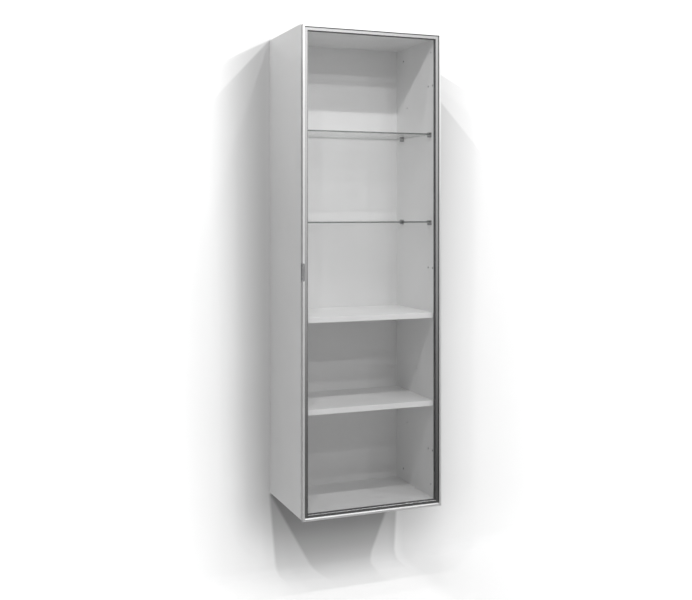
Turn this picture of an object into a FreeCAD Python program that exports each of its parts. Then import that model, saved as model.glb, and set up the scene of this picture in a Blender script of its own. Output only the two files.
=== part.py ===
import FreeCAD, Part
import os

# Tall wall-hung display cabinet with one framed glass door, hinged on the right.
# Frame: +X right, +Y towards the wall, +Z up, millimetres.
# Origin: bottom centre of the overall box (door bottom edge, mid width, mid depth).

Vector = FreeCAD.Vector

# ---------------------------------------------------------------- driving dimensions
OVERALL_W = 600.0        # carcass and door width
OVERALL_D = 400.0        # door front to wall
OVERALL_H = 1920.0       # door bottom edge to carcass top
BOARD_T = 22.0           # carcass boards and board shelves
CARCASS_BOTTOM = 2.0     # the door hangs this far below the carcass
TOP_REVEAL = 4.0         # door top edge below carcass top
DOOR_T = 21.5
DOOR_GAP = 2.5           # between door frame and carcass front edge
BACK_T = 8.0             # back panel
BACK_SETBACK = 30.0      # space behind the back panel for the wall hangers
GROOVE = 8.0             # depth of the back panel groove
GLASS_SHELF_T = 6.0
GLASS_SHELF_Z = (1508.0, 1148.0)   # undersides
BOARD_SHELF_Z = (760.0, 402.0)     # undersides

# ---------------------------------------------------------------- derived places
HALF_W = OVERALL_W / 2
INNER_X = HALF_W - BOARD_T           # inner face of a side panel
DOOR_H = OVERALL_H - TOP_REVEAL
DOOR_FRONT = -OVERALL_D / 2
DOOR_REAR = DOOR_FRONT + DOOR_T
FRONT = DOOR_REAR + DOOR_GAP         # carcass front edge
WALL = OVERALL_D / 2
BACK_REAR = WALL - BACK_SETBACK      # back panel rear face
BACK_FRONT = BACK_REAR - BACK_T
BASE = CARCASS_BOTTOM
TOP = OVERALL_H
FLOOR = BASE + BOARD_T
CEILING = TOP - BOARD_T

UP, DOWN = (0, 0, 1), (0, 0, -1)
TO_WALL, TO_ROOM = (0, 1, 0), (0, -1, 0)
SIDES = {-1: "left", 1: "right"}

# Bores that the fittings add to the boards and door stiles, cut when those are made
side_bores = {-1: [], 1: []}
top_bores, bottom_bores = [], []
leaf_pockets = []
rail_dowels = {-1: [], 1: []}
dowels = []
stile_notches, stile_screw_bores = [], []
strike_pegs = []


# ---------------------------------------------------------------- helpers
def box(xa, xb, ya, yb, za, zb):
    """Box between two opposite corners, given in either order."""
    (xa, xb), (ya, yb), (za, zb) = sorted((xa, xb)), sorted((ya, yb)), sorted((za, zb))
    return Part.makeBox(xb - xa, yb - ya, zb - za, Vector(xa, ya, za))


def cylinder(x, y, z, direction, radius, length):
    return Part.makeCylinder(radius, length, Vector(x, y, z), Vector(*direction))


def flatten(items):
    flat = []
    for item in items:
        flat += item if isinstance(item, list) else [item]
    return flat


def cut(shape, *tools):
    """Cut shapes, or lists of shapes, away in one operation."""
    return shape.cut(Part.makeCompound(flatten(tools)))


def fuse(*shapes):
    first, *others = flatten(shapes)
    for other in others:
        first = first.fuse(other)
    return first.removeSplitter()


def prism(points, direction):
    corners = [Vector(*point) for point in points]
    outline = Part.makePolygon(corners + corners[:1])
    return Part.Face(outline).extrude(Vector(*direction))


def near(value, target):
    return abs(value - target) < 1e-6


def along(edge, axis):
    """True for a straight edge parallel to axis 0, 1 or 2 (X, Y or Z)."""
    span = edge.Vertexes[-1].Point.sub(edge.Vertexes[0].Point)
    return near(abs(span[axis]), edge.Length) and edge.Length > 1


def round_edges(shape, radius, test):
    return shape.makeFillet(radius, [edge for edge in shape.Edges if test(edge)])


def cross_recess(x, y, z, facing, size, depth):
    """Two crossed bars sunk into a screw head centred at x, y, z, outer face towards facing."""
    bars = []
    for long_axis in [axis for axis in range(3) if not facing[axis]]:
        start, end = [x, y, z], [x, y, z]
        for axis in range(3):
            if facing[axis]:
                end[axis] -= facing[axis] * depth
            else:
                half = size / 2 if axis == long_axis else size * 0.26 / 2
                start[axis] -= half
                end[axis] += half
        bars.append(box(start[0], end[0], start[1], end[1], start[2], end[2]))
    return bars


def save(name, shape):
    if isinstance(shape, list):
        shape = Part.makeCompound(shape)
    if len(shape.Solids) == 1:
        shape = shape.Solids[0]
    shape.exportStep("parts/" + name + ".step")


def panel_stud(side, y, z, length):
    """Stud entering a side panel from its inner face."""
    return cylinder(side * INNER_X, y, z, (side, 0, 0), 2.5, length)


def side_dowel(side, y, z):
    """Wooden dowel between a side panel and a board or rail that butts against it."""
    return cylinder(side * (INNER_X - 18), y, z, (side, 0, 0), 4.0, 30)


# ---------------------------------------------------------------- corner joints
CAM_SETBACKS = (46, 314)             # behind carcass front, two cams per corner
DOWEL_SETBACKS = (78, 282)           # plain dowels beside them
CAM_REACH = 34                       # cam centre in from the side panel
CAM_R, CAM_DEPTH = 7.5, 14.0
CAP_T = 1.2                          # cover cap over the cam
STUD_DEPTH = 11
# bolt inside the board: start from cam centre, radius, length
BOLT_STEPS = ((1, 3.4, 3), (4, 2.2, 5), (9, 3.4, 25))


def corner_joints():
    cams, bolts, caps = [], [], []
    cam_x = INNER_X - CAM_REACH
    for side in SIDES:
        outward = (side, 0, 0)
        x = side * cam_x
        for edge, inward, bores in ((TOP, -1, top_bores), (BASE, 1, bottom_bores)):
            into_board = (0, 0, inward)
            board_mid = edge + inward * BOARD_T / 2
            cam_face = edge + inward * CAP_T
            for setback in CAM_SETBACKS:
                y = FRONT + setback
                bores.append(cylinder(x, y, edge, into_board, CAM_R, CAM_DEPTH))
                bores.append(cylinder(x, y, board_mid, outward, 3.5, CAM_REACH))
                caps.append(cylinder(x, y, edge, into_board, CAM_R, CAP_T))
                cam = cylinder(x, y, cam_face, into_board, CAM_R, CAM_DEPTH - CAP_T)
                cams.append(cut(cam, cylinder(x, y, board_mid, outward, 3.9, 9),
                                cross_recess(x, y, cam_face, (0, 0, -inward), 7, 2)))
                steps = [cylinder(side * (cam_x + start), y, board_mid, outward, radius, length)
                         for start, radius, length in BOLT_STEPS]
                stud = panel_stud(side, y, board_mid, STUD_DEPTH)
                bolts.append(fuse(steps, stud))
                side_bores[side].append(stud)
            for setback in DOWEL_SETBACKS:
                dowel = side_dowel(side, FRONT + setback, board_mid)
                dowels.append(dowel)
                bores.append(dowel)
                side_bores[side].append(dowel)
    save("cam_housings", cams)
    save("cam_bolts", bolts)
    save("cam_cover_caps", caps)


# ---------------------------------------------------------------- board shelves
SHELF_PIN_SETBACKS = (44, 290)


def board_shelves():
    """Shelves on steel pins sunk in the shelf ends and side panels."""
    pins = []
    shelf_bores = {z: [] for z in BOARD_SHELF_Z}
    for side in SIDES:
        for z in BOARD_SHELF_Z:
            for setback in SHELF_PIN_SETBACKS:
                pin = cylinder(side * (INNER_X - 12), FRONT + setback, z + BOARD_T / 2,
                               (side, 0, 0), 2.5, 23)
                pins.append(pin)
                shelf_bores[z].append(pin)
                side_bores[side].append(pin)
    save("board_shelf_pins", pins)

    shelf_front = FRONT + 0.5
    for z, name in zip(BOARD_SHELF_Z, ("board_shelf_upper", "board_shelf_lower")):
        shelf = box(-INNER_X, INNER_X, shelf_front, BACK_FRONT, z, z + BOARD_T)
        shelf = round_edges(shelf, 1.0, lambda edge: along(edge, 0)
                            and near(edge.CenterOfMass.y, shelf_front))
        save(name, cut(shelf, shelf_bores[z]))


# ---------------------------------------------------------------- glass shelves
GLASS_SETBACK = 24.0                 # glass front edge behind carcass front
CLAMP_W, CLAMP_D, CLAMP_H = 12.0, 16.0, 20.0
CLAMP_SETBACKS = (25.0, 276.0)       # clamp centres behind carcass front
CLAMP_END_WALL = 1.5                 # metal between slot and side panel
PAD_T = 1.0
GRUB_INSET = 0.8                     # grub screw end above the clamp underside
# hexagon socket: x, y from the screw axis
HEX_SOCKET = ((1.1, 0), (0.55, 0.95), (-0.55, 0.95), (-1.1, 0), (-0.55, -0.95), (0.55, -0.95))


def glass_shelves():
    for z, name in zip(GLASS_SHELF_Z, ("glass_shelf_upper", "glass_shelf_lower")):
        glass = box(-INNER_X + 2, INNER_X - 2, FRONT + GLASS_SETBACK, BACK_FRONT - 3,
                    z, z + GLASS_SHELF_T)
        save(name, round_edges(glass, 0.8, lambda edge: along(edge, 0) or along(edge, 1)))


def shelf_clamp(side, y, z):
    """Slotted block with a stud, a pad under the glass at z and a grub screw from below."""
    low = z - CLAMP_H / 2
    free_x = INNER_X - CLAMP_W
    block = box(side * free_x, side * INNER_X, y - CLAMP_D / 2, y + CLAMP_D / 2,
                low, low + CLAMP_H)
    block = round_edges(block, 1.2, lambda edge: along(edge, 0))
    block = round_edges(block, 0.5, lambda edge: near(edge.BoundBox.XMax, edge.BoundBox.XMin)
                        and near(abs(edge.BoundBox.XMax), free_x))
    slot_end = side * (INNER_X - CLAMP_END_WALL)
    slot = box(side * (free_x - 1), slot_end, y - CLAMP_D, y + CLAMP_D,
               z - PAD_T, z + GLASS_SHELF_T)
    grub_x = side * (INNER_X - CLAMP_W / 2)
    block = cut(block, slot, cylinder(grub_x, y, low - 1, UP, 2.0, 12))
    stud = panel_stud(side, y, low + 5.0, STUD_DEPTH)
    side_bores[side].append(stud)
    pad = box(side * (free_x + 0.5), slot_end, y - 7.0, y + 7.0, z - PAD_T, z)
    grub_low = low + GRUB_INSET
    grub = cylinder(grub_x, y, grub_low, UP, 2.0, z - PAD_T - grub_low)
    socket = prism([(grub_x + dx, y + dy, grub_low) for dx, dy in HEX_SOCKET], (0, 0, 2.0))
    return fuse(block, stud), pad, cut(grub, socket)


def shelf_clamps():
    clamps = [shelf_clamp(side, FRONT + setback, z)
              for side in SIDES for z in GLASS_SHELF_Z for setback in CLAMP_SETBACKS]
    bodies, pads, screws = zip(*clamps)
    save("shelf_clamp_bodies", list(bodies))
    save("shelf_clamp_pads", list(pads))
    save("shelf_clamp_screws", list(screws))


# ---------------------------------------------------------------- hole plugs
# setback from carcass front, distance in from carcass top or bottom
PLUG_PLACES = ((271.0, 74.0), (236.0, 281.0), (22.5, 74.0))
PLUG_HEAD_R, PLUG_HEAD_T = 3.6, 0.8


def hole_plugs():
    plugs = []
    for side in SIDES:
        for edge, inward in ((TOP, -1), (BASE, 1)):
            for setback, distance in PLUG_PLACES:
                y, z = FRONT + setback, edge + inward * distance
                stem = panel_stud(side, y, z, 10)
                side_bores[side].append(stem)
                head = cylinder(side * (INNER_X - PLUG_HEAD_T), y, z, (side, 0, 0),
                                PLUG_HEAD_R, PLUG_HEAD_T)
                plugs.append(fuse(head, stem))
    save("hole_plugs", plugs)


# ---------------------------------------------------------------- catches and buffers
CATCH_Z = (1180.0, 740.0)
BUFFER_Z = (1860.0, 60.0)
CATCH_X = -(INNER_X + BOARD_T / 2)   # middle of the left side panel's front edge
MAGNET_R = 4.0
FLANGE_R, FLANGE_T = 7.0, 1.0
MAGNET_PROUD = 0.3                   # magnet in front of the flange
BUFFER_R, BUFFER_T = 4.0, 2.4


def magnetic_catches():
    housings, magnets, strikes = [], [], []
    flange_y = FRONT - FLANGE_T
    for z in CATCH_Z:
        barrel = cylinder(CATCH_X, FRONT, z, TO_WALL, 6.0, 22)
        side_bores[-1].append(barrel)
        flange = cylinder(CATCH_X, flange_y, z, TO_WALL, FLANGE_R, FLANGE_T)
        housings.append(cut(fuse(barrel, flange),
                            cylinder(CATCH_X, flange_y, z, TO_WALL, MAGNET_R, 12)))
        magnets.append(cylinder(CATCH_X, flange_y - MAGNET_PROUD, z, TO_WALL,
                                MAGNET_R, 12 + MAGNET_PROUD))
        plate = cylinder(CATCH_X, DOOR_REAR, z, TO_WALL, FLANGE_R, 1.1)
        peg = cylinder(CATCH_X, DOOR_REAR - 1.5, z, TO_WALL, 1.5, 1.5)
        strikes.append(fuse(plate, peg))
        strike_pegs.append(peg)
    save("catch_housings", housings)
    save("catch_magnets", magnets)
    save("catch_strike_plates", strikes)


def door_buffers():
    buffer_front = FRONT - BUFFER_T
    buffers = []
    for z in BUFFER_Z:
        buffer = cylinder(CATCH_X, buffer_front, z, TO_WALL, BUFFER_R, BUFFER_T)
        buffers.append(round_edges(buffer, 0.8,
                                   lambda edge: near(edge.BoundBox.YMax, buffer_front)))
    save("door_buffers", buffers)


# ---------------------------------------------------------------- hinges, right side
HINGE_Z = (217.0, 963.0, 1709.0)     # hinge middles
HINGE_L = 60.0
PIN_X = 296.0
PIN_Y = DOOR_REAR - 4.0
PIN_R = 2.0
PIN_RUN = 0.05                       # radial running clearance in the door knuckle
PIN_CAP_R, PIN_CAP_T = 3.2, 1.2
KNUCKLE_R = 3.5
KNUCKLE_END = 15.0                   # length of each carcass knuckle, top and bottom
KNUCKLE_GAP = 0.25                   # between carcass and door knuckles
LEAF_T = 2.0
LEAF_REACH = 56.0                    # leaf along the inner face of the side panel
LEAF_EDGE_X = 297.0                  # right edge of the leaf on the panel's front edge
LEAF_SCREW_SETBACKS = (8.5, 46.0)
DOOR_LEAF_T = 1.5
DOOR_LEAF_X = (280.0, 292.2)         # full-height part of the door leaf
DOOR_NECK_X = 291.0                  # start of the strip that joins the door knuckle
DOOR_SCREW_X = 286.0
DOOR_SCREW_DZ = (-20.0, 20.0)
NOTCH_X = 291.2                      # left side of the notch in the door stile


def carcass_leaf(mid, low, high):
    """Angled leaf with its two end knuckles; returns leaf and screws."""
    front_plate = box(INNER_X, LEAF_EDGE_X, FRONT, FRONT + LEAF_T, low, high)
    inner_plate = box(INNER_X, INNER_X + LEAF_T, FRONT, FRONT + LEAF_REACH, low, high)
    pocket = fuse(front_plate, inner_plate)
    leaf_pockets.append(pocket)
    solids = [pocket]
    for start, end in ((low, low + KNUCKLE_END), (high - KNUCKLE_END, high)):
        solids.append(cylinder(PIN_X, PIN_Y, start, UP, KNUCKLE_R, end - start))
        solids.append(box(PIN_X - KNUCKLE_R, PIN_X + 0.5, PIN_Y, FRONT + LEAF_T, start, end))
    leaf = cut(fuse(solids), cylinder(PIN_X, PIN_Y, low - 1, UP, PIN_R, HINGE_L + 2))
    screws = []
    for setback in LEAF_SCREW_SETBACKS:
        y = FRONT + setback
        head = Part.makeCone(3.9, 2.0, 1.9, Vector(INNER_X, y, mid), Vector(1, 0, 0))
        shank = cylinder(INNER_X + 1.8, y, mid, (1, 0, 0), 2.0, 16.0)
        screw = fuse(head, shank)
        leaf = cut(leaf, screw)
        side_bores[1].append(screw)
        screws.append(cut(screw, cross_recess(INNER_X, y, mid, (-1, 0, 0), 4.2, 1.2)))
    return leaf, screws


def door_leaf(mid, low, high):
    """Flat leaf on the door's rear face with the middle knuckle; returns leaf and screws."""
    start = low + KNUCKLE_END + KNUCKLE_GAP
    end = high - KNUCKLE_END - KNUCKLE_GAP
    leaf_rear = DOOR_REAR + DOOR_LEAF_T
    leaf = fuse(cylinder(PIN_X, PIN_Y, start, UP, KNUCKLE_R, end - start),
                box(PIN_X - KNUCKLE_R, PIN_X, PIN_Y, leaf_rear, start, end),
                box(*DOOR_LEAF_X, DOOR_REAR, leaf_rear, low, high),
                box(DOOR_NECK_X, PIN_X, DOOR_REAR, leaf_rear, start, end))
    leaf = cut(leaf, cylinder(PIN_X, PIN_Y, low - 1, UP, PIN_R + PIN_RUN, HINGE_L + 2))
    screws = []
    for dz in DOOR_SCREW_DZ:
        place = (DOOR_SCREW_X, leaf_rear, mid + dz)
        screw = fuse(cylinder(*place, TO_ROOM, 2.9, 0.9), cylinder(*place, TO_ROOM, 1.6, 3.2))
        leaf = cut(leaf, screw)
        stile_screw_bores.append(screw)
        screws.append(cut(screw, cross_recess(*place, TO_WALL, 3.4, 0.6)))
    return leaf, screws


def hinges():
    carcass_leaves, carcass_screws, door_leaves, door_screws, pins = [], [], [], [], []
    for mid in HINGE_Z:
        low, high = mid - HINGE_L / 2, mid + HINGE_L / 2
        leaf, screws = carcass_leaf(mid, low, high)
        carcass_leaves.append(leaf)
        carcass_screws += screws
        leaf, screws = door_leaf(mid, low, high)
        door_leaves.append(leaf)
        door_screws += screws
        pins.append(fuse(cylinder(PIN_X, PIN_Y, low, UP, PIN_R, HINGE_L),
                         cylinder(PIN_X, PIN_Y, high, UP, PIN_CAP_R, PIN_CAP_T),
                         cylinder(PIN_X, PIN_Y, low - PIN_CAP_T, UP, PIN_CAP_R, PIN_CAP_T)))
        stile_notches.append(box(NOTCH_X, HALF_W + 1, PIN_Y - 4.6, DOOR_REAR + 1,
                                 low - 2.0, high + 2.0))
    save("hinge_carcass_leaves", carcass_leaves)
    save("hinge_door_leaves", door_leaves)
    save("hinge_pins", pins)
    save("hinge_carcass_screws", carcass_screws)
    save("hinge_door_screws", door_screws)


# ---------------------------------------------------------------- wall hangers
HANGER_LOW, HANGER_HIGH = 1815.0, 1890.0
HANGER_W = 16.0
HANGER_WALL = 1.5
HANGER_X = INNER_X - HANGER_W / 2
HANGER_SCREW_Y = BACK_REAR + 12
HEIGHT_SCREW_Y = BACK_REAR + 8
HEIGHT_HEAD_T = 3.0
HOOK_Z = 1850.0                      # middle of the hook's slider block
HOOK_HALF_W = 6.0
HOOK_REAR = BACK_REAR + 29.3
PLATE_T = 2.0
PLATE_INNER_X = 214.0
PLATE_LOW, PLATE_HIGH, LIP_HIGH = 1788.0, 1833.0, 1852.5
LIP_FRONT = WALL - 6.0
PLATE_HOLE_X, PLATE_HOLE_Z = 242.0, 1808.0   # middle of the hole pair
PLATE_HOLE_R = 3.25
PLATE_HOLE_SPACING = 32.0


def hanger_housing(side):
    """Box open towards the wall, screwed to the side panel; returns housing and screws."""
    wall_x = INNER_X - HANGER_WALL
    housing = box(side * (INNER_X - HANGER_W), side * INNER_X,
                  BACK_REAR + 1, BACK_REAR + 23, HANGER_LOW, HANGER_HIGH)
    housing = cut(housing, box(side * (INNER_X - HANGER_W + HANGER_WALL), side * wall_x,
                               BACK_REAR + 1 + HANGER_WALL, BACK_REAR + 24,
                               HANGER_LOW + HANGER_WALL, HANGER_HIGH - HANGER_WALL))
    screws = []
    head_t = 1.6
    head_x = side * (wall_x - head_t)
    for z in (HANGER_LOW + 9, HANGER_HIGH - 9):
        screw = fuse(cylinder(side * wall_x, HANGER_SCREW_Y, z, (side, 0, 0), 2.2, 15.5),
                     cylinder(head_x, HANGER_SCREW_Y, z, (side, 0, 0), 3.8, head_t))
        housing = cut(housing, screw)
        side_bores[side].append(screw)
        recess = cross_recess(head_x, HANGER_SCREW_Y, z, (-side, 0, 0), 4.0, 0.9)
        screws.append(cut(screw, recess))
    return housing, screws


def height_screw(side):
    x, y = side * HANGER_X, HEIGHT_SCREW_Y
    low = HANGER_LOW + HANGER_WALL
    head_low = HANGER_HIGH - HANGER_WALL - HEIGHT_HEAD_T
    return fuse(cylinder(x, y, low, UP, 2.5, head_low - low),
                cylinder(x, y, head_low, UP, 4.2, HEIGHT_HEAD_T))


def hanger_hook(side):
    """Slider block in the housing, arm over the wall plate lip, tongue behind it."""
    x_range = (side * (HANGER_X - HOOK_HALF_W), side * (HANGER_X + HOOK_HALF_W))
    high = HOOK_Z + 12.0
    hook = fuse(box(*x_range, BACK_REAR + 3.0, BACK_REAR + 23.4, HOOK_Z - 12.0, high),
                box(*x_range, BACK_REAR + 20.0, HOOK_REAR, HOOK_Z + 3.0, high),
                box(*x_range, BACK_REAR + 26.6, HOOK_REAR, HOOK_Z - 10.0, high))
    return cut(hook, cylinder(side * HANGER_X, HEIGHT_SCREW_Y, HOOK_Z - 20, UP, 2.6, 40))


def wall_plate(side):
    """Flange with two screw holes and a joggled lip that the hook hangs on."""
    x_range = (side * PLATE_INNER_X, side * (HANGER_X + HOOK_HALF_W))
    step_low = PLATE_HIGH - PLATE_T
    plate = fuse(box(*x_range, WALL - PLATE_T, WALL, PLATE_LOW, PLATE_HIGH),
                 box(*x_range, LIP_FRONT, WALL, step_low, PLATE_HIGH),
                 box(*x_range, LIP_FRONT, LIP_FRONT + PLATE_T, step_low, LIP_HIGH))
    holes = [cylinder(side * PLATE_HOLE_X + offset, WALL + 1, PLATE_HOLE_Z,
                      TO_ROOM, PLATE_HOLE_R, 6)
             for offset in (-PLATE_HOLE_SPACING / 2, PLATE_HOLE_SPACING / 2)]
    return cut(plate, holes)


def wall_hangers():
    housings, fixing_screws = [], []
    for side, side_name in SIDES.items():
        housing, screws = hanger_housing(side)
        housings.append(housing)
        fixing_screws += screws
        save("hanger_hook_" + side_name, hanger_hook(side))
        save("wall_plate_" + side_name, wall_plate(side))
    save("hanger_housings", housings)
    save("hanger_fixing_screws", fixing_screws)
    save("hanger_height_screws", [height_screw(side) for side in SIDES])


# ---------------------------------------------------------------- carcass boards
RAIL_T, RAIL_H = 16.0, 68.0
RAILS = (("rear_rail_top", 1738.0), ("rear_rail_bottom", 60.0))   # name, underside
RAIL_DOWEL_INSET = 18                # from the rail's lower and upper edges
BOARD_ROUND = 0.8
BACK_CLEARANCE = 0.5                 # back panel edge to groove floor


def rear_rails():
    for name, low in RAILS:
        high = low + RAIL_H
        rail = box(-INNER_X, INNER_X, BACK_REAR, BACK_REAR + RAIL_T, low, high)
        for side in SIDES:
            for z in (low + RAIL_DOWEL_INSET, high - RAIL_DOWEL_INSET):
                dowel = side_dowel(side, BACK_REAR + RAIL_T / 2, z)
                dowels.append(dowel)
                rail_dowels[side].append(dowel)
                rail = cut(rail, dowel)
        save(name, rail)


def side_panel(side):
    panel = box(side * INNER_X, side * HALF_W, FRONT, WALL, BASE, TOP)
    panel = round_edges(panel, BOARD_ROUND,
                        lambda edge: near(abs(edge.CenterOfMass.x), HALF_W))
    groove_inset = BOARD_T - GROOVE
    panel = cut(panel, box(side * (INNER_X - 1), side * (INNER_X + GROOVE),
                           BACK_FRONT, BACK_REAR, BASE + groove_inset, TOP - groove_inset))
    panel = cut(panel, side_bores[side])
    if side > 0:
        panel = cut(panel, leaf_pockets)
    for dowel in rail_dowels[side]:
        panel = cut(panel, dowel)
    return panel


def level_panel(inner, outer, outward, bores):
    """Top or bottom board between its inner and outer faces; outward is +1 for up."""
    panel = box(-INNER_X, INNER_X, FRONT, WALL, inner, outer)
    panel = round_edges(panel, BOARD_ROUND, lambda edge: along(edge, 0)
                        and near(edge.CenterOfMass.z, outer)
                        and near(edge.CenterOfMass.y, FRONT))
    groove = box(-INNER_X, INNER_X, BACK_FRONT, BACK_REAR,
                 inner - outward, inner + outward * GROOVE)
    return cut(panel, groove, bores)


def back_panel():
    tongue = GROOVE - BACK_CLEARANCE
    return box(-INNER_X - tongue, INNER_X + tongue, BACK_FRONT, BACK_REAR,
               FLOOR - tongue, CEILING + tongue)


# ---------------------------------------------------------------- door frame
LIP_W = 8.5              # front lip of the aluminium frame
FRAME_W = 22.5           # face width of the aluminium frame
RECESS = 6.0             # how far the inner face of the frame sits back
CHANNEL_IN = 15          # glazing channel floor, in from the door edge
CHANNEL_FRONT, CHANNEL_REAR = 7.5, 14.5   # channel sides, behind the door front
CHAMFER = 0.4
MITRE = 30.0             # reach of the mitre cut, beyond the face width

# Frame section: distance in from the door edge, distance behind the door front
OUTLINE = (
    (CHAMFER, 0), (LIP_W - CHAMFER, 0), (LIP_W, CHAMFER), (LIP_W, RECESS),
    (FRAME_W - 1.5, RECESS), (FRAME_W - 1.5, 4.7), (FRAME_W - 1.2, 4.4),
    (FRAME_W - 0.3, 4.4), (FRAME_W, 4.7), (FRAME_W, CHANNEL_FRONT),
    (CHANNEL_IN, CHANNEL_FRONT), (CHANNEL_IN, CHANNEL_REAR), (FRAME_W, CHANNEL_REAR),
    (FRAME_W, DOOR_T - CHAMFER), (FRAME_W - CHAMFER, DOOR_T), (CHAMFER, DOOR_T),
    (0, DOOR_T - CHAMFER), (0, CHAMFER))
MAIN_CHAMBER = ((2, 2), (LIP_W - 1.5, 2), (LIP_W - 1.5, 7.5), (13.5, 7.5), (13.5, 20), (2, 20))
REAR_CHAMBER = ((15, 16), (21, 16), (21, 20), (15, 20))


def frame_member(place, sweep, mitre):
    """Sweep the section, set by place(inset, depth), and trim it to the mitre outline (x, z)."""
    tube, main, rear = [prism([place(*point) for point in section], sweep)
                        for section in (OUTLINE, MAIN_CHAMBER, REAR_CHAMBER)]
    trim = prism([(x, DOOR_FRONT - 1, z) for x, z in mitre], (0, DOOR_T + 2, 0))
    return cut(tube, main, rear).common(trim)


def stile(side):
    inner = side * (HALF_W - MITRE)
    return frame_member(
        lambda inset, depth: (side * (HALF_W - inset), DOOR_FRONT + depth, 0),
        (0, 0, DOOR_H),
        ((side * HALF_W, 0), (inner, MITRE), (inner, DOOR_H - MITRE), (side * HALF_W, DOOR_H)))


def door_rail(edge, inward):
    inner = edge + inward * MITRE
    return frame_member(
        lambda inset, depth: (-HALF_W, DOOR_FRONT + depth, edge + inward * inset),
        (OVERALL_W, 0, 0),
        ((-HALF_W, edge), (-HALF_W + MITRE, inner), (HALF_W - MITRE, inner), (HALF_W, edge)))


# Corner keys inside the chambers, each held by two screws from the rear
KEY_NEAR, KEY_FAR, KEY_LEG = 2.5, 13.0, 52.0   # in from the door edges
KEY_FRONT, KEY_REAR = DOOR_FRONT + 8.0, DOOR_FRONT + 19.8
KEY_MID = (KEY_NEAR + KEY_FAR) / 2
KEY_SCREW = 38.0                               # screw along each leg, from the door corner


def corner_keys(members):
    """Save the keys and their screws, and bore the frame members for the screws."""
    keys, screws = [], []
    for side, side_name in SIDES.items():
        for edge, inward, edge_name in ((0.0, 1, "bottom"), (DOOR_H, -1, "top")):
            def leg(across, upward):
                return box(side * (HALF_W - KEY_NEAR), side * (HALF_W - across),
                           KEY_FRONT, KEY_REAR,
                           edge + inward * KEY_NEAR, edge + inward * upward)
            key = fuse(leg(KEY_FAR, KEY_LEG), leg(KEY_LEG, KEY_FAR))
            for across, upward, member in ((KEY_MID, KEY_SCREW, side_name),
                                           (KEY_SCREW, KEY_MID, edge_name)):
                place = (side * (HALF_W - across), DOOR_REAR, edge + inward * upward)
                screw = cylinder(*place, TO_ROOM, 2.0, 9.0)
                key = cut(key, screw)
                members[member] = cut(members[member], screw)
                screws.append(cut(screw, cross_recess(*place, TO_WALL, 2.8, 1.2)))
            keys.append(key)
    save("door_corner_keys", keys)
    save("door_corner_screws", screws)


# Finger grip set into the left stile
GRIP_Z, GRIP_H, GRIP_W = 959.5, 70.0, 9.0
SCOOP_D = 2.5                        # depth of the finger hollow
SCOOP_MARGIN = 5.0                   # grip left around the hollow, front, top and bottom
GRIP_HEAD_T = 1.2
GRIP_SCREW_DZ = (-18.0, 18.0)


def finger_grip(members):
    """Save the grip and its screws, and let both into the left stile."""
    left, right = -HALF_W, -HALF_W + GRIP_W
    low, high = GRIP_Z - GRIP_H / 2, GRIP_Z + GRIP_H / 2
    blank = box(left, right, DOOR_FRONT, DOOR_REAR + 0.9, low, high)
    blank = round_edges(blank, 7.0, lambda edge: along(edge, 1)
                        and near(edge.CenterOfMass.x, right))
    grip = round_edges(blank, 0.8, lambda edge: near(edge.BoundBox.YMax, DOOR_FRONT))
    scoop_x = left + SCOOP_D
    scoop = box(left - 1, scoop_x, DOOR_FRONT + SCOOP_MARGIN, DOOR_REAR - 1.5,
                low + SCOOP_MARGIN, high - SCOOP_MARGIN)
    scoop = round_edges(scoop, 2.0, lambda edge: near(edge.CenterOfMass.x, scoop_x))
    grip = cut(grip, scoop)
    screws = []
    y = DOOR_FRONT + 13.0
    for dz in GRIP_SCREW_DZ:
        z = GRIP_Z + dz
        screw = fuse(cylinder(scoop_x, y, z, (1, 0, 0), 2.6, GRIP_HEAD_T),
                     cylinder(scoop_x + GRIP_HEAD_T, y, z, (1, 0, 0), 1.5, 13.7 - SCOOP_D))
        grip = cut(grip, screw)
        members["left"] = cut(members["left"], screw)
        screws.append(cut(screw, cross_recess(scoop_x, y, z, (-1, 0, 0), 3.0, 0.7)))
    members["left"] = cut(members["left"], blank, strike_pegs)
    save("finger_grip", grip)
    save("finger_grip_screws", screws)


def door_frame():
    members = {"left": stile(-1), "right": stile(1),
               "bottom": door_rail(0, 1), "top": door_rail(DOOR_H, -1)}
    corner_keys(members)
    finger_grip(members)
    members["right"] = cut(members["right"], stile_notches, stile_screw_bores)
    for name, member in members.items():
        kind = "stile" if name in ("left", "right") else "rail"
        save("door_" + kind + "_" + name, member)


# ---------------------------------------------------------------- door glazing
DOOR_GLASS_T = 4.0
GLASS_IN = 16.5          # glass edge, in from the door edge
GASKET_W = 24.0          # gasket reaches this far in from the door edge


def door_slab(inset, front, rear):
    """Slab the size of the door less an equal inset on all four edges."""
    return box(-HALF_W + inset, HALF_W - inset, front, rear, inset, DOOR_H - inset)


def door_glazing():
    glass_front = DOOR_FRONT + 9.0
    channel_rear = DOOR_FRONT + CHANNEL_REAR
    glass = door_slab(GLASS_IN, glass_front, glass_front + DOOR_GLASS_T)
    gasket = door_slab(CHANNEL_IN, DOOR_FRONT + CHANNEL_FRONT, channel_rear)
    # the rear leg lines the inner edge of the frame behind the glass
    leg = door_slab(FRAME_W, channel_rear, DOOR_REAR - 1.0)
    opening = door_slab(GASKET_W, DOOR_FRONT, DOOR_REAR + 1)
    save("door_glass", glass)
    save("door_gasket", cut(fuse(gasket, leg), opening, glass))


# ---------------------------------------------------------------- build
os.makedirs("parts", exist_ok=True)

# Fittings come first, since they collect the bores for the boards and the door
corner_joints()
board_shelves()
glass_shelves()
shelf_clamps()
hole_plugs()
magnetic_catches()
door_buffers()
hinges()
wall_hangers()
rear_rails()
save("wooden_dowels", dowels)

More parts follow.
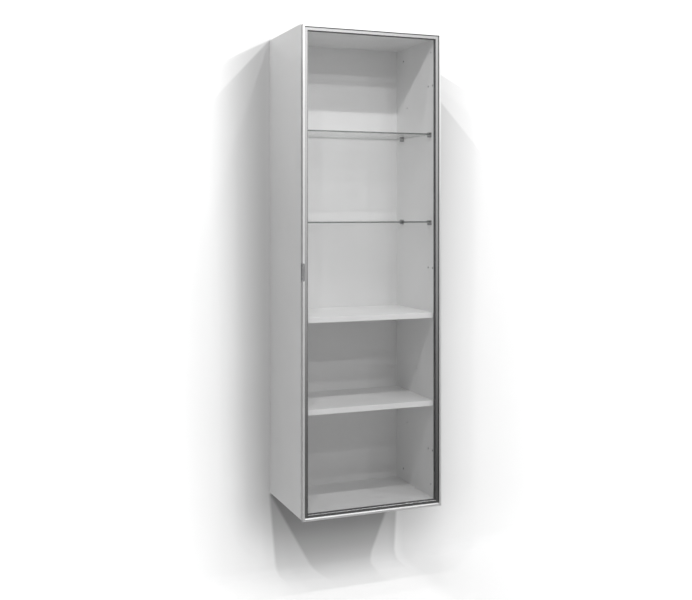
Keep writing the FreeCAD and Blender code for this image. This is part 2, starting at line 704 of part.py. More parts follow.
for side, side_name in SIDES.items():
    save("side_panel_" + side_name, side_panel(side))
save("top_panel", level_panel(CEILING, TOP, 1, top_bores))
save("bottom_panel", level_panel(FLOOR, BASE, -1, bottom_bores))
save("back_panel", back_panel())

door_frame()
door_glazing()
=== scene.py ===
import bpy, bmesh, math, random
from mathutils import Vector, Matrix


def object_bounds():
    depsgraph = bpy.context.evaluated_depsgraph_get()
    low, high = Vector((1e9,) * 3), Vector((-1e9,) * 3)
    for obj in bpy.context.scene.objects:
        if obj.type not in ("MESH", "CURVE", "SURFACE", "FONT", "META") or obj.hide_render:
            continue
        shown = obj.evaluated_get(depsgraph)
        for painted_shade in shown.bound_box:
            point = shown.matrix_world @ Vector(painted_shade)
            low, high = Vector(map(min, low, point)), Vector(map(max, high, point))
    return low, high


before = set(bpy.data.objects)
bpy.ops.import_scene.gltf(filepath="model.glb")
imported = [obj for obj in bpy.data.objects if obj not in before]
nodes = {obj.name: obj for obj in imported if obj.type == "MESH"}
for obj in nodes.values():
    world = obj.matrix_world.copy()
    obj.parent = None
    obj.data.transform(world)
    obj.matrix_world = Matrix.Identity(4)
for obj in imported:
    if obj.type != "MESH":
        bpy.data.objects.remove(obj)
cad_lo, cad_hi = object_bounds()
random.seed(11)
scene = bpy.context.scene


# ------------------------------------------------------------------ node helpers
class Mat:
    """Small builder for a procedural material."""

    def __init__(self, name):
        self.m = bpy.data.materials.new(name)
        self.m.use_nodes = True
        self.nt = self.m.node_tree
        self.nt.nodes.clear()
        self.out = self.n("ShaderNodeOutputMaterial")
        self.bsdf = self.n("ShaderNodeBsdfPrincipled")
        self.link(self.bsdf.outputs[0], self.out.inputs[0])
        tc = self.n("ShaderNodeTexCoord")
        self.obj = tc.outputs["Object"]
        self.normal = None

    def n(self, kind, **kw):
        node = self.nt.nodes.new(kind)
        for k, v in kw.items():
            setattr(node, k, v)
        return node

    def link(self, a, b):
        self.nt.links.new(a, b)

    def put(self, sock, v):
        if isinstance(v, (int, float, tuple, list)):
            sock.default_value = v
        else:
            self.link(v, sock)

    def set(self, **kw):
        for k, v in kw.items():
            self.put(self.bsdf.inputs[k.replace("_", " ")], v)

    def mapping(self, scale=(1, 1, 1), rot=(0, 0, 0), loc=(0, 0, 0)):
        mp = self.n("ShaderNodeMapping")
        self.link(self.obj, mp.inputs[0])
        mp.inputs["Scale"].default_value = scale
        mp.inputs["Rotation"].default_value = rot
        mp.inputs["Location"].default_value = loc
        return mp.outputs[0]

    def noise(self, scale, detail=3, rough=0.5, dist=0.0, vec=None, lac=2.0):
        t = self.n("ShaderNodeTexNoise")
        t.inputs["Scale"].default_value = scale
        t.inputs["Detail"].default_value = detail
        t.inputs["Roughness"].default_value = rough
        t.inputs["Distortion"].default_value = dist
        self.link(vec if vec is not None else self.obj, t.inputs["Vector"])
        return t.outputs["Fac"]

    def voronoi(self, scale, feature="F1", vec=None, rand=1.0):
        t = self.n("ShaderNodeTexVoronoi", feature=feature)
        t.inputs["Scale"].default_value = scale
        t.inputs["Randomness"].default_value = rand
        self.link(vec if vec is not None else self.obj, t.inputs["Vector"])
        return t.outputs["Distance"]

    def wave(self, scale, dist=0.0, detail=2, vec=None, direction="X"):
        t = self.n("ShaderNodeTexWave", bands_direction=direction)
        t.inputs["Scale"].default_value = scale
        t.inputs["Distortion"].default_value = dist
        t.inputs["Detail"].default_value = detail
        self.link(vec if vec is not None else self.obj, t.inputs["Vector"])
        return t.outputs["Fac"]

    def ramp(self, fac, lo, hi, a=0.0, b=1.0):
        t = self.n("ShaderNodeMapRange")
        t.clamp = True
        self.put(t.inputs[0], fac)
        t.inputs[1].default_value = lo
        t.inputs[2].default_value = hi
        t.inputs[3].default_value = a
        t.inputs[4].default_value = b
        return t.outputs[0]

    def smooth(self, fac, lo, hi, a=0.0, b=1.0):
        out = self.ramp(fac, lo, hi, a, b)
        out.node.interpolation_type = "SMOOTHSTEP"
        return out

    def math(self, op, a, b=0.5, clamp=False):
        t = self.n("ShaderNodeMath", operation=op)
        t.use_clamp = clamp
        self.put(t.inputs[0], a)
        self.put(t.inputs[1], b)
        return t.outputs[0]

    def mix(self, fac, a, b):
        t = self.n("ShaderNodeMix", data_type="RGBA")
        self.put(t.inputs[0], fac)
        for i, v in ((6, a), (7, b)):
            if isinstance(v, (tuple, list)):
                t.inputs[i].default_value = tuple(v) + ((1,) if len(v) == 3 else ())
            else:
                self.link(v, t.inputs[i])
        return t.outputs[2]

    def scaled(self, col, gain):
        t = self.n("ShaderNodeVectorMath", operation="SCALE")
        self.link(col, t.inputs[0])
        self.put(t.inputs["Scale"], gain)
        return t.outputs[0]

    def bump(self, height, strength, dist):
        t = self.n("ShaderNodeBump")
        t.inputs["Strength"].default_value = strength
        t.inputs["Distance"].default_value = dist
        self.put(t.inputs["Height"], height)
        if self.normal is not None:
            self.link(self.normal, t.inputs["Normal"])
        self.normal = t.outputs[0]
        self.link(self.normal, self.bsdf.inputs["Normal"])
        return self.normal

    def edge(self, radius=0.002):
        """1 near sharp edges, 0 on flats."""
        b = self.n("ShaderNodeBevel")
        b.samples = 4
        b.inputs["Radius"].default_value = radius
        g = self.n("ShaderNodeNewGeometry")
        d = self.n("ShaderNodeVectorMath", operation="DOT_PRODUCT")
        self.link(b.outputs[0], d.inputs[0])
        self.link(g.outputs["Normal"], d.inputs[1])
        return self.ramp(d.outputs["Value"], 0.995, 0.90, 0.0, 1.0)


def g(v):
    """sRGB grey level 0..255 to linear."""
    c = v / 255.0
    return c / 12.92 if c <= 0.04045 else ((c + 0.055) / 1.055) ** 2.4


def white_board(name, base, tint=(1.0, 1.0, 1.0), rough=0.36, edge_dark=0.03, painted_outer_gain=1.0, painted_inner_gain=1.0, painted_front_gain=1.0, painted_top_gain=1.0):
    m = Mat(name)
    cloud = m.noise(2.2, 3, 0.55)
    speck = m.noise(260, 2, 0.6)
    c0 = tuple(base * t * 0.965 for t in tint)
    c1 = tuple(min(1, base * t * 1.01) for t in tint)
    col = m.mix(m.ramp(cloud, 0.3, 0.7), c0, c1)
    col = m.mix(m.ramp(speck, 0.62, 0.80, 0.0, 0.06), col, tuple(base * 0.8 for _ in range(3)))
    wear = m.math("MULTIPLY", m.edge(0.0012), m.ramp(m.noise(40, 4, 0.6), 0.45, 0.7, 0.0, 1.0))
    col = m.mix(m.math("MULTIPLY", wear, edge_dark * 4), col, tuple(base * 0.72 for _ in range(3)))
    smudge = m.noise(7, 5, 0.62, 0.6)
    r = m.math("ADD", m.ramp(smudge, 0.35, 0.75, rough - 0.05, rough + 0.08), m.ramp(speck, 0.4, 0.7, 0, 0.04))
    # painted light and shade by facing: these gains make faces that turn outward, inward, to the front or up darker or
    # lighter
    if (painted_outer_gain, painted_inner_gain, painted_front_gain, painted_top_gain) != (1.0, 1.0, 1.0, 1.0):
        where, pos = m.n("ShaderNodeSeparateXYZ"), m.n("ShaderNodeSeparateXYZ")
        m.link(m.n("ShaderNodeNewGeometry").outputs["True Normal"], where.inputs[0])
        m.link(m.obj, pos.inputs[0])
        outward = m.math("MULTIPLY", where.outputs[0], pos.outputs[0])
        gain = m.math("MULTIPLY", m.ramp(outward, 0.1, 0.2, 1.0, painted_outer_gain), m.ramp(outward, -0.1, -0.2, 1.0, painted_inner_gain))
        gain = m.math("MULTIPLY", gain, m.ramp(where.outputs[1], -0.6, -0.9, 1.0, painted_front_gain))
        gain = m.math("MULTIPLY", gain, m.ramp(where.outputs[2], 0.6, 0.9, 1.0, painted_top_gain))
        col = m.scaled(col, gain)
    m.set(Base_Color=col, Roughness=r)
    m.set(Specular_IOR_Level=0.25)
    m.set(Coat_Weight=0.04, Coat_Roughness=0.22)
    m.bump(m.noise(420, 2, 0.5), 0.06, 0.0004)       # orange peel of the lacquer
    m.bump(m.noise(55, 3, 0.5), 0.05, 0.0008)
    return m.m


def metal(name, base, rough, aniso_axis=None, grain=900, grain_amount=0.10, tint=(1, 1, 1.004), metallic=1.0, spots=0.0):
    m = Mat(name)
    scale = {"x": (2, grain, grain), "y": (grain, 2, grain), "z": (grain, grain, 2)}.get(aniso_axis, (120, 120, 120))
    vec = m.mapping(scale=scale)
    brush = m.noise(1.0, 3, 0.6, vec=vec)
    cloud = m.noise(9, 3, 0.55)
    a = tuple(min(1, base * t * (1 - grain_amount)) for t in tint)
    b = tuple(min(1, base * t * (1 + grain_amount)) for t in tint)
    col = m.mix(m.ramp(brush, 0.3, 0.7), a, b)
    col = m.mix(m.ramp(cloud, 0.35, 0.75, 0.0, 0.25), col, tuple(base * 0.86 * t for t in tint))
    if spots:
        col = m.mix(m.ramp(m.voronoi(70), 0.0, 0.55, spots, 0.0), col, tuple(min(1, base * 1.25 * t) for t in tint))
    wear = m.math("MULTIPLY", m.edge(0.0008), m.ramp(m.noise(60, 3, 0.6), 0.4, 0.65))
    col = m.mix(m.math("MULTIPLY", wear, 0.35), col, tuple(min(1, base * 1.3) for _ in range(3)))
    r = m.math("ADD", m.ramp(brush, 0.3, 0.7, rough - 0.05, rough + 0.07), m.ramp(cloud, 0.4, 0.8, 0.0, 0.06))
    m.set(Base_Color=col, Roughness=r, Metallic=metallic)
    m.bump(brush, 0.10, 0.0002)
    m.bump(m.noise(30, 2, 0.5), 0.03, 0.0006)
    return m.m


def frame_metal(name, axis):
    """Anodised door frame: satin outer lip, polished recessed band, painted shade in the inner corners, on the side
    faces and on faces that look down, and a painted highlight on faces that look up.
    """
    m = Mat(name)
    scale = (2, 1400, 1400) if axis == "x" else (1400, 1400, 2)
    brush = m.noise(1.0, 3, 0.6, vec=m.mapping(scale=scale))
    cloud = m.noise(6, 3, 0.55)
    sep = m.n("ShaderNodeSeparateXYZ")
    m.link(m.obj, sep.inputs[0])
    ax = m.math("ABSOLUTE", sep.outputs[0])
    lip = m.math("MAXIMUM", m.ramp(ax, 0.2911, 0.2918),
                 m.math("MAXIMUM", m.ramp(sep.outputs[2], 0.0089, 0.0082), m.ramp(sep.outputs[2], 1.9071, 1.9078)))
    fg = m.n("ShaderNodeNewGeometry")
    fn = m.n("ShaderNodeSeparateXYZ")
    m.link(fg.outputs["True Normal"], fn.inputs[0])
    lip = m.math("MULTIPLY", lip, m.ramp(m.math("ABSOLUTE", fn.outputs[1]), 0.3, 0.6))
    # painted shade line in the recess next to the lip
    inset = m.math("MINIMUM", m.math("SUBTRACT", 0.2915, ax),
                   m.math("MINIMUM", m.math("SUBTRACT", sep.outputs[2], 0.0085), m.math("SUBTRACT", 1.9075, sep.outputs[2])))
    flat = m.ramp(m.math("ABSOLUTE", fn.outputs[1]), 0.3, 0.6)
    painted_dark, wide = (0.10, 0.0040) if axis == "x" else (LIPC[0], 0.0022)
    painted_shade = m.ramp(inset, 0.0, wide, painted_dark, 1.0)
    on_band = m.math("MULTIPLY", flat, m.ramp(inset, -0.0003, 0.0, 0.0, 1.0))
    on_band = m.math("MULTIPLY", on_band, m.ramp(sep.outputs[2], 0.02, 0.04))
    painted_shade = m.math("ADD", m.math("MULTIPLY", painted_shade, on_band), m.math("SUBTRACT", 1.0, on_band))
    # painted shade: the side faces and the faces of the step that look down are darker
    painted_side_shade = m.math("MAXIMUM", m.math("MULTIPLY", m.ramp(m.math("ABSOLUTE", fn.outputs[0]), 0.5, 0.9), LIPC[5]),
                   m.math("MULTIPLY", m.ramp(fn.outputs[2], -0.5, -0.9), 0.80))
    painted_shade = m.math("MULTIPLY", painted_shade, m.math("SUBTRACT", 1.0, painted_side_shade))
    band = m.mix(m.ramp(brush, 0.3, 0.7), (0.80, 0.80, 0.802), (0.88, 0.88, 0.883))
    band = m.mix(m.ramp(cloud, 0.35, 0.75, 0.0, 0.3), band, (0.76, 0.76, 0.762))
    satin = m.mix(m.ramp(brush, 0.3, 0.7), (0.85, 0.85, 0.85), (0.94, 0.94, 0.94))
    col = m.mix(lip, band, satin)
    # painted highlight: faces that look up are lighter
    painted_up_highlight = m.ramp(fn.outputs[2], 0.5, 0.9)
    col = m.mix(painted_up_highlight, col, (0.98, 0.98, 0.98))
    dull = m.n("ShaderNodeMix", data_type="RGBA", blend_type="MULTIPLY")
    dull.inputs[0].default_value = 1.0
    m.link(col, dull.inputs[6])
    m.link(painted_shade, dull.inputs[7])
    rough = m.ramp(lip, 0.0, 1.0, LIPC[1], LIPC[2])
    rough = m.math("ADD", rough, m.ramp(brush, 0.3, 0.7, -0.03, 0.05))
    m.set(Base_Color=dull.outputs[2], Roughness=m.math("ADD", rough, m.ramp(cloud, 0.4, 0.8, 0.0, 0.05)),
          Metallic=m.ramp(lip, 0.0, 1.0, LIPC[3], LIPC[4]))
    m.bump(brush, 0.08, 0.0002)
    return m.m


LIPC = (0.28, 0.16, 0.42, 1.0, 0.62, 0.60)   # painted corner shade tone, band and lip roughness, band and lip metal share, painted side shade


def plastic(name, base, rough=0.45, tint=(1, 1, 1.02), grain=700, spec=0.45, rubber=False, bead_highlight=1.0, deep_y=None):
    m = Mat(name)
    cloud = m.noise(20, 3, 0.55)
    fine = m.noise(grain, 2, 0.6)
    col = m.mix(m.ramp(cloud, 0.3, 0.7), tuple(base * t * 0.9 for t in tint), tuple(base * t * 1.08 for t in tint))
    wear = m.math("MULTIPLY", m.edge(0.0012), m.ramp(m.noise(90, 3, 0.6), 0.4, 0.65))
    col = m.mix(m.math("MULTIPLY", wear, 0.3), col, tuple(min(1, base * 1.5 + 0.02) for _ in range(3)))
    r = m.math("ADD", m.ramp(fine, 0.3, 0.7, rough - 0.04, rough + 0.06), m.ramp(cloud, 0.4, 0.75, 0, 0.08))
    if bead_highlight != 1.0:                                  # painted highlight: the visible bead in front of y = -0.1856 is lighter
        pos = m.n("ShaderNodeSeparateXYZ")
        m.link(m.obj, pos.inputs[0])
        col = m.scaled(col, m.ramp(pos.outputs[1], -0.1854, -0.1858, 1.0, bead_highlight))
    if deep_y is not None:                           # plugs near the back are darker
        pos = m.n("ShaderNodeSeparateXYZ")
        m.link(m.obj, pos.inputs[0])
        col = m.scaled(col, m.ramp(pos.outputs[1], deep_y - 0.01, deep_y, 1.0, 0.16))
    m.set(Base_Color=col, Roughness=r, Specular_IOR_Level=spec)
    m.bump(m.voronoi(grain * 1.4), 0.18 if not rubber else 0.1, 0.0002)
    return m.m


def glass(name, tint, rough=0.0, edge_tint=None):
    """Thin clear glass: light from lamps passes, faces reflect by Fresnel, edges keep the green body colour."""
    m = Mat(name)
    m.nt.nodes.remove(m.bsdf)
    trans = m.n("ShaderNodeBsdfTransparent")
    gloss = m.n("ShaderNodeBsdfGlossy")
    smear = m.noise(6, 5, 0.65, 0.8)
    m.put(gloss.inputs["Roughness"], m.ramp(smear, 0.35, 0.8, rough, rough + 0.05))
    gloss.inputs["Color"].default_value = (0.97, 0.97, 0.97, 1)
    geo = m.n("ShaderNodeNewGeometry")
    fres = m.n("ShaderNodeFresnel")
    # the ray is not bent inside the pane, so both faces use the index seen from outside
    m.link(m.ramp(geo.outputs["Backfacing"], 0.0, 1.0, 1.46, 1 / 1.46), fres.inputs["IOR"])
    film = m.ramp(m.noise(2.5, 4, 0.6, 0.4), 0.45, 0.8, 0.0, 1.0)
    col = m.mix(film, tint, tuple(c * 0.985 for c in tint))
    if edge_tint:
        sep = m.n("ShaderNodeSeparateXYZ")
        m.link(geo.outputs["Normal"], sep.inputs[0])
        col = m.mix(m.ramp(m.math("ABSOLUTE", sep.outputs[2]), 0.7, 0.3, 0.0, 1.0), col, edge_tint)
    m.link(col, trans.inputs[0])
    mix = m.n("ShaderNodeMixShader")
    m.link(fres.outputs[0], mix.inputs[0])
    m.link(trans.outputs[0], mix.inputs[1])
    m.link(gloss.outputs[0], mix.inputs[2])
    m.link(mix.outputs[0], m.out.inputs[0])
    m.bsdf = gloss
    m.bump(m.noise(1.6, 2, 0.5), 0.02, 0.01)
    m.m["glass"] = 1
    return m.m


def assign(names, material):
    for nme in names:
        o = nodes[nme]
        if not o.material_slots:
            o.data.materials.append(material)
        for s in o.material_slots:
            s.material = material


M_BOARD = white_board("lacquered_board", g(231))
# painted shade on top faces and outer sides, painted light on inner sides and shelf fronts, set by the facing gains
M_TOP = white_board("lacquered_top", g(231), painted_top_gain=0.70)
M_SIDE = white_board("lacquered_side", g(231), painted_outer_gain=0.86, painted_inner_gain=1.06, painted_top_gain=0.70)
M_SHELF = white_board("lacquered_shelf", g(231), painted_front_gain=1.10)
M_BACK = white_board("lacquered_back_panel", g(231), rough=0.42)
M_RAW = white_board("melamine_rail", g(214), tint=(1.0, 0.985, 0.95), rough=0.55)
M_ALU_Z = frame_metal("anodised_frame_vertical", "z")
M_ALU_X = frame_metal("anodised_frame_horizontal", "x")
M_SCREW = metal("dark_screw", g(120), 0.45, None, 300, 0.08)
M_ZINC = metal("zinc_plate", g(196), 0.34, None, 300, 0.08, tint=(0.98, 1.0, 1.03), spots=0.35)
M_CLAMP = metal("clamp_metal", g(160), 0.38, "y", 700, 0.10)
M_PIN = metal("turned_pin", g(170), 0.28, "z", 900, 0.08)
M_KEY = metal("cast_key", g(176), 0.5, None, 300, 0.12)
M_MAGNET = metal("nickel_magnet", g(205), 0.2, None, 300, 0.04)
# painted light: the hinge leaf is lighter on its inner face
M_LEAF = white_board("painted_leaf", g(231), rough=0.34, painted_inner_gain=1.05)
M_DLEAF = metal("door_leaf_paint", g(160), 0.42, "z", 500, 0.06, metallic=0.6)
M_GRIP = plastic("grip_moulding", g(144), 0.42)
M_CAP = plastic("white_cap", g(222), 0.45)
M_PLUG = plastic("grey_plug", g(175), 0.5, deep_y=0.08)
M_GASKET = plastic("rubber_gasket", g(64), 0.55, spec=0.35, rubber=True, bead_highlight=2.2)
M_SILICONE = plastic("clear_silicone", g(205), 0.35, spec=0.5, rubber=True)
M_DOWEL = white_board("beech_dowel", g(190), tint=(1.0, 0.78, 0.52), rough=0.6)
M_GLASS_DOOR = glass("door_glass", (0.992, 0.992, 0.992))
M_GLASS_UP = glass("shelf_glass_upper", (0.975, 0.977, 0.976), edge_tint=(0.37, 0.39, 0.38))
M_GLASS_LOW = glass("shelf_glass_lower", (0.975, 0.977, 0.976), edge_tint=(0.60, 0.62, 0.61))

assign(["side_panel_left", "side_panel_right"], M_SIDE)
assign(["bottom_panel"], M_BOARD)
assign(["top_panel"], M_TOP)
assign(["board_shelf_upper", "board_shelf_lower"], M_SHELF)
assign(["back_panel"], M_BACK)
assign(["rear_rail_top", "rear_rail_bottom"], M_RAW)
assign(["door_stile_left", "door_stile_right"], M_ALU_Z)
assign(["door_rail_top", "door_rail_bottom"], M_ALU_X)
assign(["board_shelf_pins", "shelf_clamp_screws", "cam_housings", "cam_bolts", "catch_strike_plates", "door_corner_screws",
        "finger_grip_screws", "hinge_door_screws", "hanger_housings", "hanger_fixing_screws",
        "hanger_height_screws", "hanger_hook_left", "hanger_hook_right", "wall_plate_left", "wall_plate_right"], M_ZINC)
assign(["hinge_carcass_screws"], M_SCREW)
assign(["shelf_clamp_bodies"], M_CLAMP)
assign(["shelf_clamp_pads", "door_buffers"], M_SILICONE)
assign(["hinge_pins"], M_PIN)
assign(["door_corner_keys"], M_KEY)
assign(["catch_magnets"], M_MAGNET)
assign(["hinge_carcass_leaves"], M_LEAF)
assign(["hinge_door_leaves"], M_DLEAF)
assign(["finger_grip"], M_GRIP)
assign(["cam_cover_caps", "catch_housings"], M_CAP)
assign(["hole_plugs"], M_PLUG)
assign(["door_gasket"], M_GASKET)
assign(["wooden_dowels"], M_DOWEL)
assign(["door_glass"], M_GLASS_DOOR)
assign(["glass_shelf_upper"], M_GLASS_UP)
assign(["glass_shelf_lower"], M_GLASS_LOW)

# ------------------------------------------------------------------ stage: pale wall behind and pale floor below
WALL_Y = cad_hi.y + 0.0006
FLOOR_Z = -0.345


NEAR = (0.49, 0.50, 0.42, 0.33)    # painted shade tone on the wall at the cabinet, share lit by the lamps, painted glow of its own, extra painted glow far away
UNDER = (0.62, 0.60)               # tones of the two shadows below the cabinet


def stage_sheet(name, strips, material):
    """Strips of (x0, x1, [(y, z), ...]) swept along X, facing the room."""
    me = bpy.data.meshes.new(name)
    verts, faces = [], []
    for x0, x1, line in strips:
        base = len(verts)
        for (y, z) in line:
            verts += [(x0, y, z), (x1, y, z)]
        for i in range(len(line) - 1):
            k = base + 2 * i
            faces.append((k, k + 2, k + 3, k + 1))
    me.from_pydata(verts, [], faces)
    for p in me.polygons:
        p.use_smooth = True
    o = bpy.data.objects.new(name, me)
    scene.collection.objects.link(o)
    me.materials.append(material)
    return o


# the stage wall paints the cabinet's shade and shadows and a glow of its own into its colour and emission
wall = Mat("pale_stage")
lp = wall.n("ShaderNodeLightPath")
seen = wall.math("MAXIMUM", lp.outputs["Is Camera Ray"], lp.outputs["Is Glossy Ray"])
wpos = wall.n("ShaderNodeSeparateXYZ")
wall.link(wall.obj, wpos.inputs[0])
wx = wall.math("ABSOLUTE", wpos.outputs[0])
# on the floor the distance from the wall counts as further depth
wz = wall.math("SUBTRACT", wpos.outputs[2], wall.math("MULTIPLY", wall.math("MAXIMUM", wall.math("SUBTRACT", WALL_Y - 0.01, wpos.outputs[1]), 0.0), 0.3))
off_x = wall.math("MAXIMUM", wall.math("SUBTRACT", wx, cad_hi.x), 0.0)
right = wall.ramp(wpos.outputs[0], -0.1, 0.1)


def over(slope, near, far):
    """How far a point lies above a line that falls away from the cabinet's top corners, as 0 to 1."""
    line = wall.math("SUBTRACT", cad_hi.z, wall.math("MULTIPLY", off_x, slope))
    return wall.ramp(wall.math("SUBTRACT", wz, line), near, far)


# the shadow beside the cabinet ends on two such lines, part of it on each
lift = wall.math("SUBTRACT", wall.math("SUBTRACT", 1.0, wall.math("MULTIPLY", over(1.06, -0.004, 0.010), 0.22)),
                 wall.math("MULTIPLY", over(0.49, -0.002, 0.006), 0.28))
flat = wall.math("MINIMUM", wall.math("MULTIPLY", off_x, 0.64), wall.math("ADD", wall.math("MULTIPLY", off_x, 0.45), 0.045))
off_x = wall.math("ADD", wall.math("MULTIPLY", flat, right),
                  wall.math("MULTIPLY", off_x, wall.math("SUBTRACT", 1.0, right)))
depth = wall.ramp(wpos.outputs[0], 0.25, 0.33, -0.66, -0.50)
below = wall.math("MAXIMUM", wall.math("MULTIPLY", wz, depth), 0.0)
away = wall.math("SQRT", wall.math("ADD", wall.math("POWER", off_x, 2.0), wall.math("POWER", below, 2.0)))
away = wall.math("ADD", away, wall.math("MULTIPLY", wall.ramp(wz, 0.35, -0.1, 0.0, 0.022), wall.ramp(wpos.outputs[0], -0.30, -0.34)))
away = wall.math("SUBTRACT", away, wall.ramp(wz, 0.6, 1.92, 0.0, 0.058))
painted_dark = wall.math("MULTIPLY", wall.math("SUBTRACT", 1.0, wall.smooth(away, -0.02, 0.25, NEAR[0], 1.0)), lift)
shade = wall.math("SUBTRACT", 1.0, painted_dark)
# shadow of the cabinet below it: a lighter one straight down and a darker wedge inside it
px = wpos.outputs[0]


def wedge(left, right):
    out = wall.ramp(wall.math("ADD", wall.math("MULTIPLY", px, -1.0), wall.math("MULTIPLY", wz, -left)), 0.309, 0.295)
    return wall.math("MULTIPLY", out, wall.ramp(wall.math("ADD", px, wall.math("MULTIPLY", wz, -right)), 0.309, 0.295))


fade = wall.math("MULTIPLY", wall.smooth(wz, -0.43, -0.26), wall.ramp(wz, -0.28, -0.13, 0.8, 1.0))
fade = wall.math("MULTIPLY", fade, wall.ramp(wz, 0.0, -0.01))
wide, deep = wall.math("MULTIPLY", wedge(0.087, 0.055), fade), wall.math("MULTIPLY", wedge(0.56, 0.42), fade)
shade = wall.math("MULTIPLY", shade, wall.ramp(wide, 0.0, 1.0, 1.0, UNDER[0]))
shade = wall.math("MULTIPLY", shade, wall.ramp(deep, 0.0, 1.0, 1.0, UNDER[1]))
shade = wall.math("MULTIPLY", shade, wall.ramp(wall.noise(0.7, 2, 0.5), 0.3, 0.7, 0.985, 1.0))
paint = wall.math("MULTIPLY", shade, NEAR[1])
unseen = wall.math("SUBTRACT", 1.0, seen)
paint = wall.math("ADD", wall.math("MULTIPLY", seen, paint), wall.math("MULTIPLY", unseen, 0.87))
far_glow = wall.math("SUBTRACT", NEAR[3], wall.math("MULTIPLY", wall.ramp(away, 0.11, 0.50, NEAR[3], 0.0), lift))
glow = wall.math("ADD", wall.math("MULTIPLY", shade, NEAR[2]), far_glow)
glow = wall.math("ADD", wall.math("MULTIPLY", seen, glow), wall.math("MULTIPLY", unseen, 0.077))
tone = wall.n("ShaderNodeCombineColor")
for i in range(3):
    wall.link(paint, tone.inputs[i])
wall.set(Base_Color=tone.outputs[0], Roughness=0.9)
wall.set(Emission_Color=(1, 1, 1, 1), Emission_Strength=glow)
geo = wall.n("ShaderNodeNewGeometry")
tr = wall.n("ShaderNodeBsdfTransparent")
mx = wall.n("ShaderNodeMixShader")
wsepn = wall.n("ShaderNodeSeparateXYZ")
wall.link(geo.outputs["Normal"], wsepn.inputs[0])
no_floor = wall.math("MULTIPLY", lp.outputs["Is Glossy Ray"], wall.ramp(wsepn.outputs[2], 0.05, 0.2))
wall.link(wall.math("MAXIMUM", geo.outputs["Backfacing"], no_floor), mx.inputs[0])
wall.link(wall.bsdf.outputs[0], mx.inputs[1])
wall.link(tr.outputs[0], mx.inputs[2])
wall.link(mx.outputs[0], wall.out.inputs[0])
R = 0.05
cove = [(WALL_Y, -0.02)]
for i in range(0, 13):
    a = i / 12 * math.pi / 2
    cove.append((WALL_Y - R + R * math.cos(a), FLOOR_Z + R - R * math.sin(a)))
cove.append((-7.0, FLOOR_Z))
# the wall is left open behind the cabinet, inside its outline, so that light reaches the back from behind
hx, hz0, hz1 = cad_hi.x - 0.010, 0.012, cad_hi.z - 0.010
stage_sheet("stage_wall_floor", [
    (-6, 6, cove),
    (-6, 6, [(WALL_Y, hz0), (WALL_Y, -0.02)]),
    (-6, -hx, [(WALL_Y, hz1), (WALL_Y, hz0)]),
    (hx, 6, [(WALL_Y, hz1), (WALL_Y, hz0)]),
    (-6, 6, [(WALL_Y, 4.5), (WALL_Y, hz1)]),
], wall.m)

# ------------------------------------------------------------------ light
world = bpy.data.worlds.new("soft_studio")
scene.world = world
world.use_nodes = True
wn = world.node_tree
wn.nodes.clear()
ROOM_FRONT, ROOM_REAR, BACKDROP = 0.43, 0.62, 0.93


def wnode(kind, **kw):
    node = wn.nodes.new(kind)
    for k, v in kw.items():
        setattr(node, k, v)
    return node


def wmath(op, a, b, clamp=False):
    node = wnode("ShaderNodeMath", operation=op, use_clamp=clamp)
    for i, v in enumerate((a, b)):
        if isinstance(v, (int, float)):
            node.inputs[i].default_value = v
        else:
            wn.links.new(v, node.inputs[i])
    return node.outputs[0]


wtc = wnode("ShaderNodeTexCoord")
wsep = wnode("ShaderNodeSeparateXYZ")
wn.links.new(wtc.outputs["Generated"], wsep.inputs[0])
# what polished parts mirror: pale above, darker below and towards the right
mirror = wmath("ADD", 0.58, wmath("MULTIPLY", wsep.outputs[2], 2.05))
mirror = wmath("MINIMUM", wmath("MAXIMUM", mirror, 0.09), 1.6)
side_fall = wmath("SUBTRACT", 1.0, wmath("MULTIPLY", wmath("MAXIMUM", wmath("SUBTRACT", wsep.outputs[0], 0.35), 0.0), 2.4))
mirror = wmath("MULTIPLY", mirror, wmath("MAXIMUM", side_fall, 0.3))
room = wmath("MULTIPLY", wmath("MAXIMUM", wmath("MULTIPLY", wsep.outputs[1], -1.0), 0.0), ROOM_FRONT)
# the room behind only reaches the back of the cabinet, through the opening in the wall sheet
room = wmath("ADD", room, wmath("MULTIPLY", wmath("MAXIMUM", wsep.outputs[1], 0.0), ROOM_REAR))
wlp = wnode("ShaderNodeLightPath")
wmix = wnode("ShaderNodeMix", data_type="FLOAT")
wn.links.new(wlp.outputs["Is Glossy Ray"], wmix.inputs[0])
wn.links.new(room, wmix.inputs[2])
wn.links.new(mirror, wmix.inputs[3])
wbg = wnode("ShaderNodeBackground")
wbg.inputs[0].default_value = (1, 1, 1, 1)
wback = wnode("ShaderNodeMix", data_type="FLOAT")
wn.links.new(wlp.outputs["Is Camera Ray"], wback.inputs[0])
wn.links.new(wmix.outputs[0], wback.inputs[2])
wback.inputs[3].default_value = BACKDROP
wn.links.new(wback.outputs[0], wbg.inputs[1])
wout = wnode("ShaderNodeOutputWorld")
wn.links.new(wbg.outputs[0], wout.inputs[0])


def area(name, loc, target, size, energy):
    d = bpy.data.lights.new(name, "AREA")
    d.energy = energy
    d.shape = "DISK"
    d.size = size
    o = bpy.data.objects.new(name, d)
    o.location = loc
    o.rotation_euler = (Vector(target) - Vector(loc)).to_track_quat("-Z", "Y").to_euler()
    scene.collection.objects.link(o)
    return o


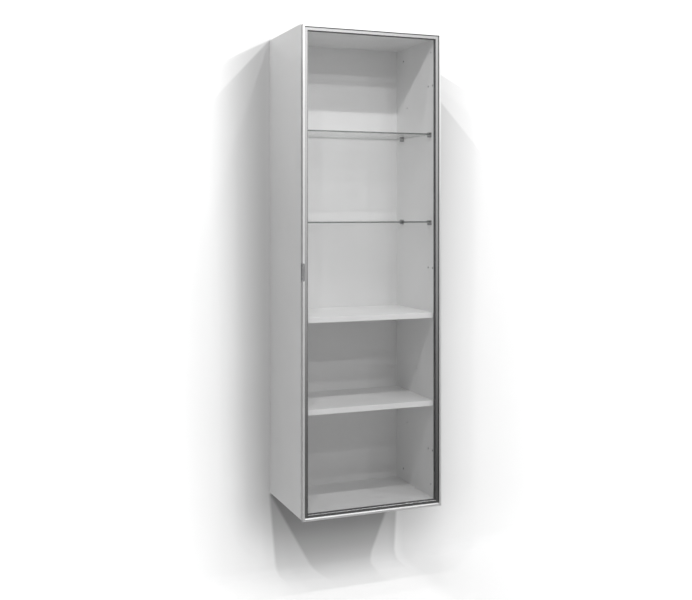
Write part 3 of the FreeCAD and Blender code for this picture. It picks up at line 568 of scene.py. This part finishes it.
# small soft lamps in four rows under the ceiling: (distance in front of the cabinet, height, x, weight)
LAMPS = (
    (3.56, 2.99, 0.07, 0.054), (3.56, 2.99, 0.60, 0.021), (3.56, 2.99, 1.64, 0.071), (3.56, 2.99, 2.68, 0.018),
    (2.44, 2.95, -1.10, 0.019), (2.44, 2.95, 0.07, 0.084), (2.44, 2.95, 0.60, 0.088), (2.44, 2.95, 2.68, 0.026),
    (1.43, 2.97, -1.10, 0.297), (1.43, 2.97, -0.45, 0.109), (1.43, 2.97, 0.07, 0.083), (1.43, 2.97, 0.60, 0.074),
    (1.43, 2.97, 1.64, 0.224),
    (0.37, 2.97, -0.45, 0.104), (0.37, 2.97, 0.07, 0.232),
)
for n, (d, h, x, w) in enumerate(LAMPS):
    loc = Vector((x, -0.19 - d, h))
    reach = (loc - Vector((0, 0, 1.0))).length
    lamp = area("lamp_%02d" % n, loc, (0, 0, 1.0), 0.07, w * 100 * (reach / 4.0) ** 2)
    lamp.visible_glossy = d < 2.0        # the far rows stay out of the polished frame

# ------------------------------------------------------------------ camera
cam_data = bpy.data.cameras.new("camera")
cam = bpy.data.objects.new("camera", cam_data)
scene.collection.objects.link(cam)
F_PX, CX, CY, TH = 933.99, 297.08, 210.49, 20.1173
cam.location = (-1.55487, -3.56183, 1.19800)
cam.rotation_euler = (math.radians(90), 0, -math.radians(TH))
cam_data.sensor_width = 36.0
cam_data.sensor_fit = "HORIZONTAL"
cam_data.lens = F_PX / 692 * 36
SHIFT_X, SHIFT_Y = (346 - CX) / 692, -(300 - CY) / 692
cam_data.shift_x, cam_data.shift_y = SHIFT_X, SHIFT_Y
for path, shift in (("shift_x", SHIFT_X), ("shift_y", SHIFT_Y)):
    # the lens shift belongs to the front view; with the camera moved elsewhere it goes back to zero
    drv = cam_data.driver_add(path).driver
    drv.type = "SCRIPTED"
    for var, chan in (("px", "LOC_X"), ("py", "LOC_Y"), ("pz", "LOC_Z")):
        v = drv.variables.new()
        v.name, v.type = var, "TRANSFORMS"
        v.targets[0].id = cam
        v.targets[0].transform_type = chan
        v.targets[0].transform_space = "WORLD_SPACE"
    drv.expression = "%.6f if (abs(px - %.5f) + abs(py - %.5f) + abs(pz - %.5f)) < 0.002 else 0.0" % (
        (shift,) + tuple(cam.location))
cam_data.clip_start, cam_data.clip_end = 0.05, 60
scene.camera = cam

scene.view_settings.view_transform = "Standard"
scene.view_settings.look = "None"
